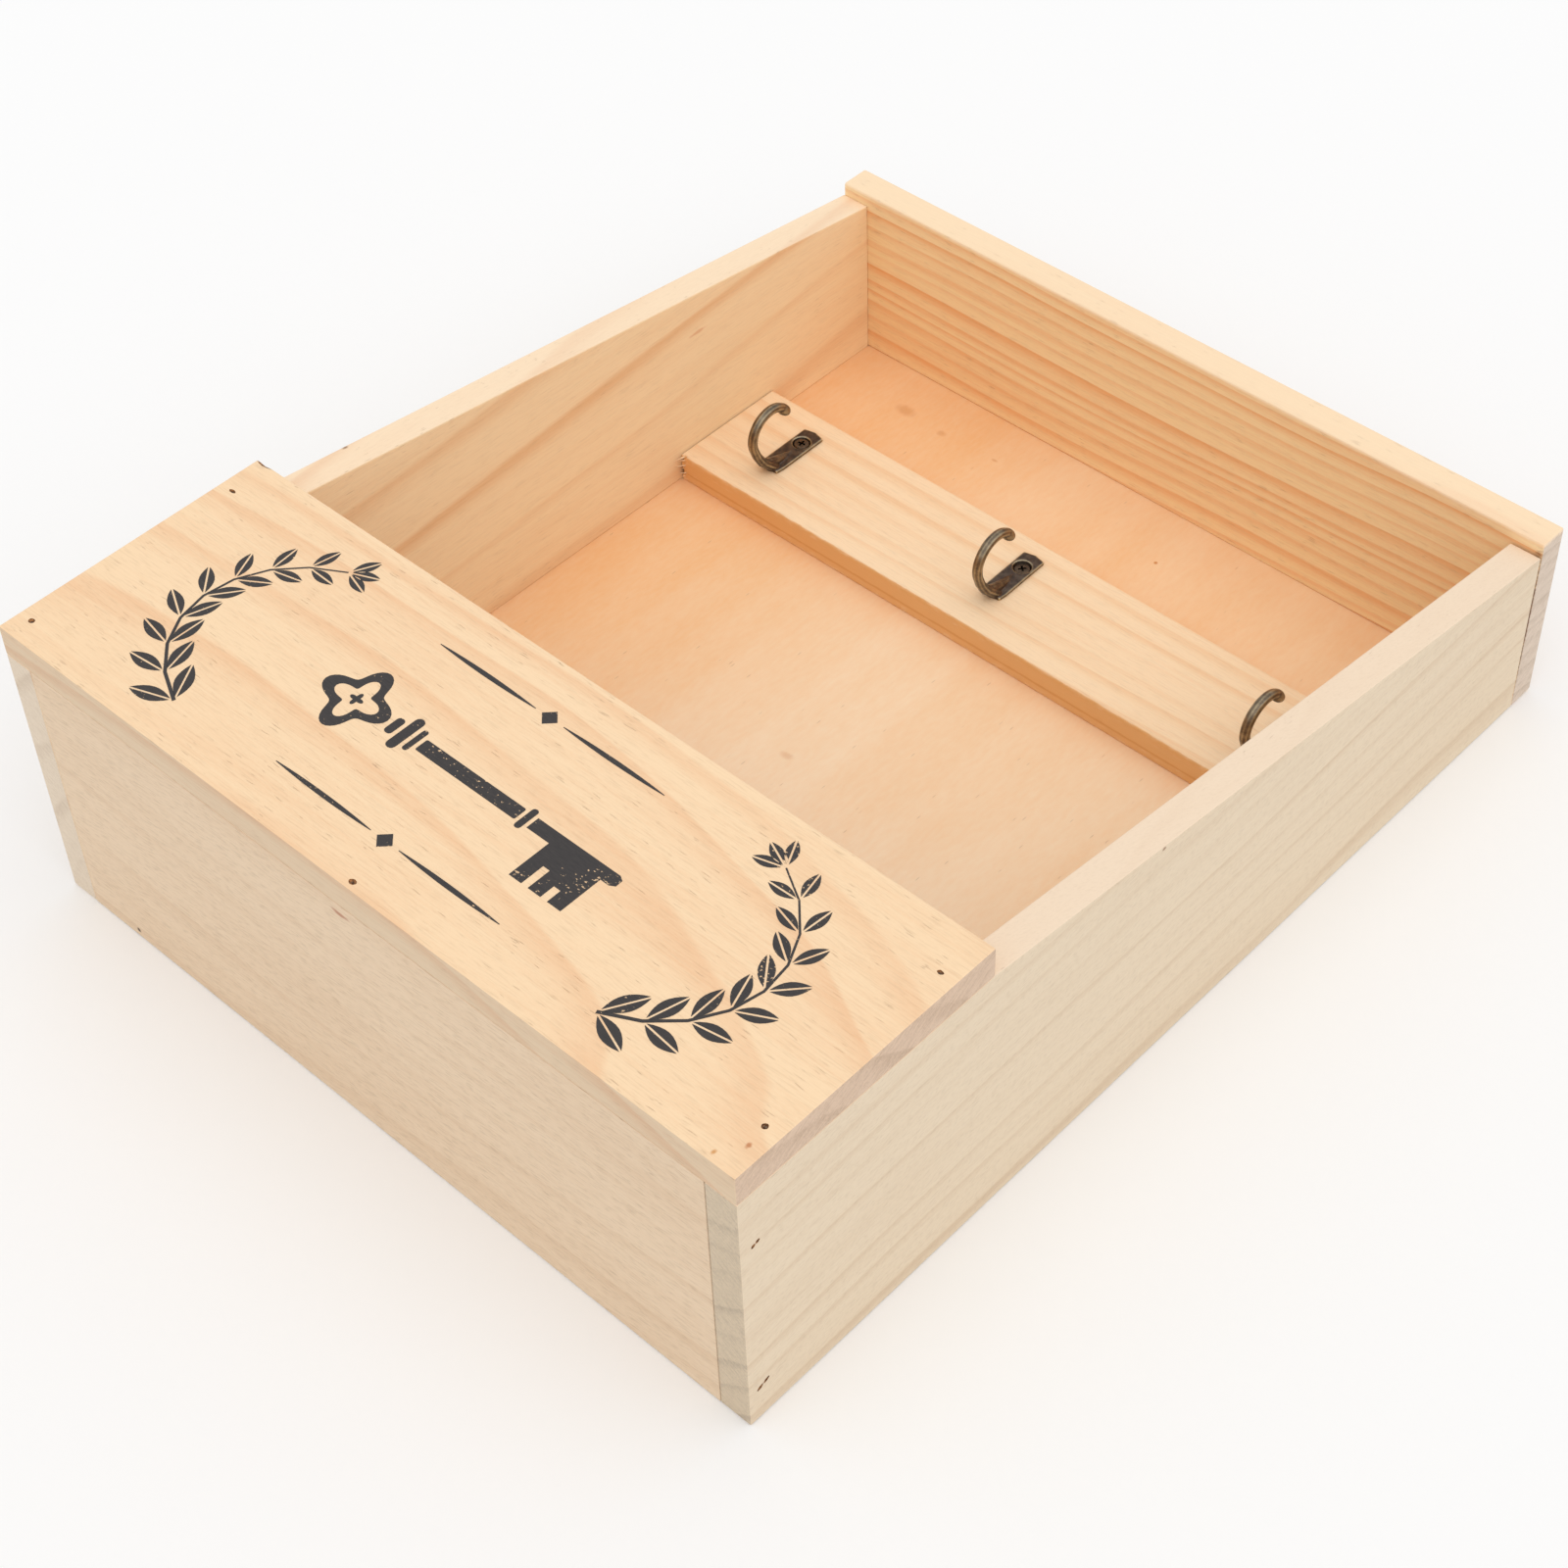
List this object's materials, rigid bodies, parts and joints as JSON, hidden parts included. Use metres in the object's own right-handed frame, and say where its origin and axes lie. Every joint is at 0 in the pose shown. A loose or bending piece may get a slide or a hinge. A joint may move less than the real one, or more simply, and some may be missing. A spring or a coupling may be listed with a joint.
{
  "type": "wall key and letter box",
  "caption": "Open-fronted pine wall box with a letter pocket behind a low front board and a rail of antique brass key hooks in its tapering upper bay.",
  "frame": {"origin": "middle of the back face, which lies against the wall", "axes": "+X is right and +Y is up as the box hangs, and +Z points out of the wall"},
  "size_m": [0.21, 0.268, 0.08],
  "materials": {
    "pine_board": "bare, planed and sanded",
    "plywood_panel": "bare, sanded veneer",
    "antique_brass": "dark patina, worn bright on the edges",
    "screw_steel": "browned",
    "brad_steel": "dull"
  },
  "bodies": {
    "root": {"back_panel": "plywood_panel", "left_side": "pine_board", "right_side": "pine_board", "top_board": "pine_board", "bottom_board": "pine_board", "front_board": "pine_board", "hook_rail": "pine_board", "hook_left": "antique_brass", "hook_middle": "antique_brass", "hook_right": "antique_brass", "hook_screw_left": "screw_steel", "hook_screw_middle": "screw_steel", "hook_screw_right": "screw_steel", "front_left_brads": "brad_steel", "front_right_brads": "brad_steel", "front_middle_brad": "brad_steel", "bottom_left_brads": "brad_steel", "bottom_right_brads": "brad_steel", "top_left_brads": "brad_steel", "top_right_brads": "brad_steel", "panel_pins": "brad_steel", "rail_pins": "brad_steel"}
  },
  "joints": []
}
